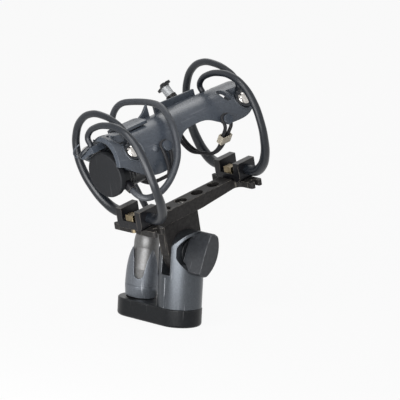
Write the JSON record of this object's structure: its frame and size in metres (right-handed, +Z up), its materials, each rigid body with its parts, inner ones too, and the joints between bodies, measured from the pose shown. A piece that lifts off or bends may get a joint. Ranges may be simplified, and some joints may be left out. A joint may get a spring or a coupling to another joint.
{
  "type": "microphone shock mount",
  "caption": "Microphone cradle floating on crossing rubber arms over a tilting bar, clamped by a wing knob to a post on a pole base with a plugged lead.",
  "frame": {"origin": "centre of the pole socket's mouth on the base's underside", "axes": "+Z up along the pole's axis, +X from the pole socket towards the post and its knob, +Y from the end that holds the lead's connector towards the end where the microphone reaches out"},
  "size_m": [0.0757, 0.1122, 0.1392],
  "materials": {
    "cast_post": "satin",
    "black_metal": "satin",
    "bar_metal": "satin",
    "steel": "polished",
    "brass": "satin",
    "plug_metal": "satin",
    "shell_plastic": "satin",
    "knob_plastic": "satin",
    "block_plastic": "gloss",
    "arm_rubber": "matte",
    "band_rubber": "matte",
    "lead_rubber": "matte",
    "grey_plastic": "satin"
  },
  "bodies": {
    "stand": {"base_block": "black_metal", "receptacle_disc": "block_plastic", "receptacle_pins": "brass", "post": "cast_post", "post_screws": "steel", "clamp_nut": "steel", "plug_sleeve": "plug_metal", "plug_core": "plug_metal", "plug_insert": "block_plastic"},
    "clamp": {"clamp_bolt": "steel", "clamp_washer": "black_metal", "knob": "knob_plastic"},
    "bar": {"bar": "bar_metal", "hinge_fin": "bar_metal", "bar_screws": "steel", "arm_block_front": "block_plastic", "arm_block_rear": "block_plastic", "block_screws": "brass", "arm_front_left": "arm_rubber", "arm_front_right": "arm_rubber", "arm_rear_left": "arm_rubber", "arm_rear_right": "arm_rubber"},
    "cradle": {"pad_screws_front": "steel", "pad_screws_rear": "steel", "cradle": "shell_plastic", "retaining_band_front": "band_rubber", "retaining_band_rear": "band_rubber", "band_clip": "brass", "toggle_stem": "block_plastic", "toggle_sleeve": "grey_plastic", "toggle_cap": "block_plastic", "connector_cap": "block_plastic", "connector_body": "black_metal", "connector_insert": "block_plastic", "connector_contacts": "brass", "lead_gland": "block_plastic", "lead": "lead_rubber"}
  },
  "joints": [
    {"name": "tilt", "type": "hinge", "parent": "stand", "child": "bar", "pos_m": [0.0293, 0, 0.0401], "axis": [1, 0, 0], "range_deg": [-60, 45], "deforming": ["lead"]},
    {"name": "clamp_turn", "type": "hinge", "parent": "stand", "child": "clamp", "pos_m": [0.0293, 0, 0.0401], "axis": [1, 0, 0], "range_deg": [-180, 180]},
    {"name": "float", "type": "slide", "parent": "bar", "child": "cradle", "axis": [0, -0.2672, 0.9636], "range_m": [-0.003, 0.003], "stiffness_N_per_m": 400, "deforming": ["arm_front_left", "arm_front_right", "arm_rear_left", "arm_rear_right", "lead"]}
  ]
}
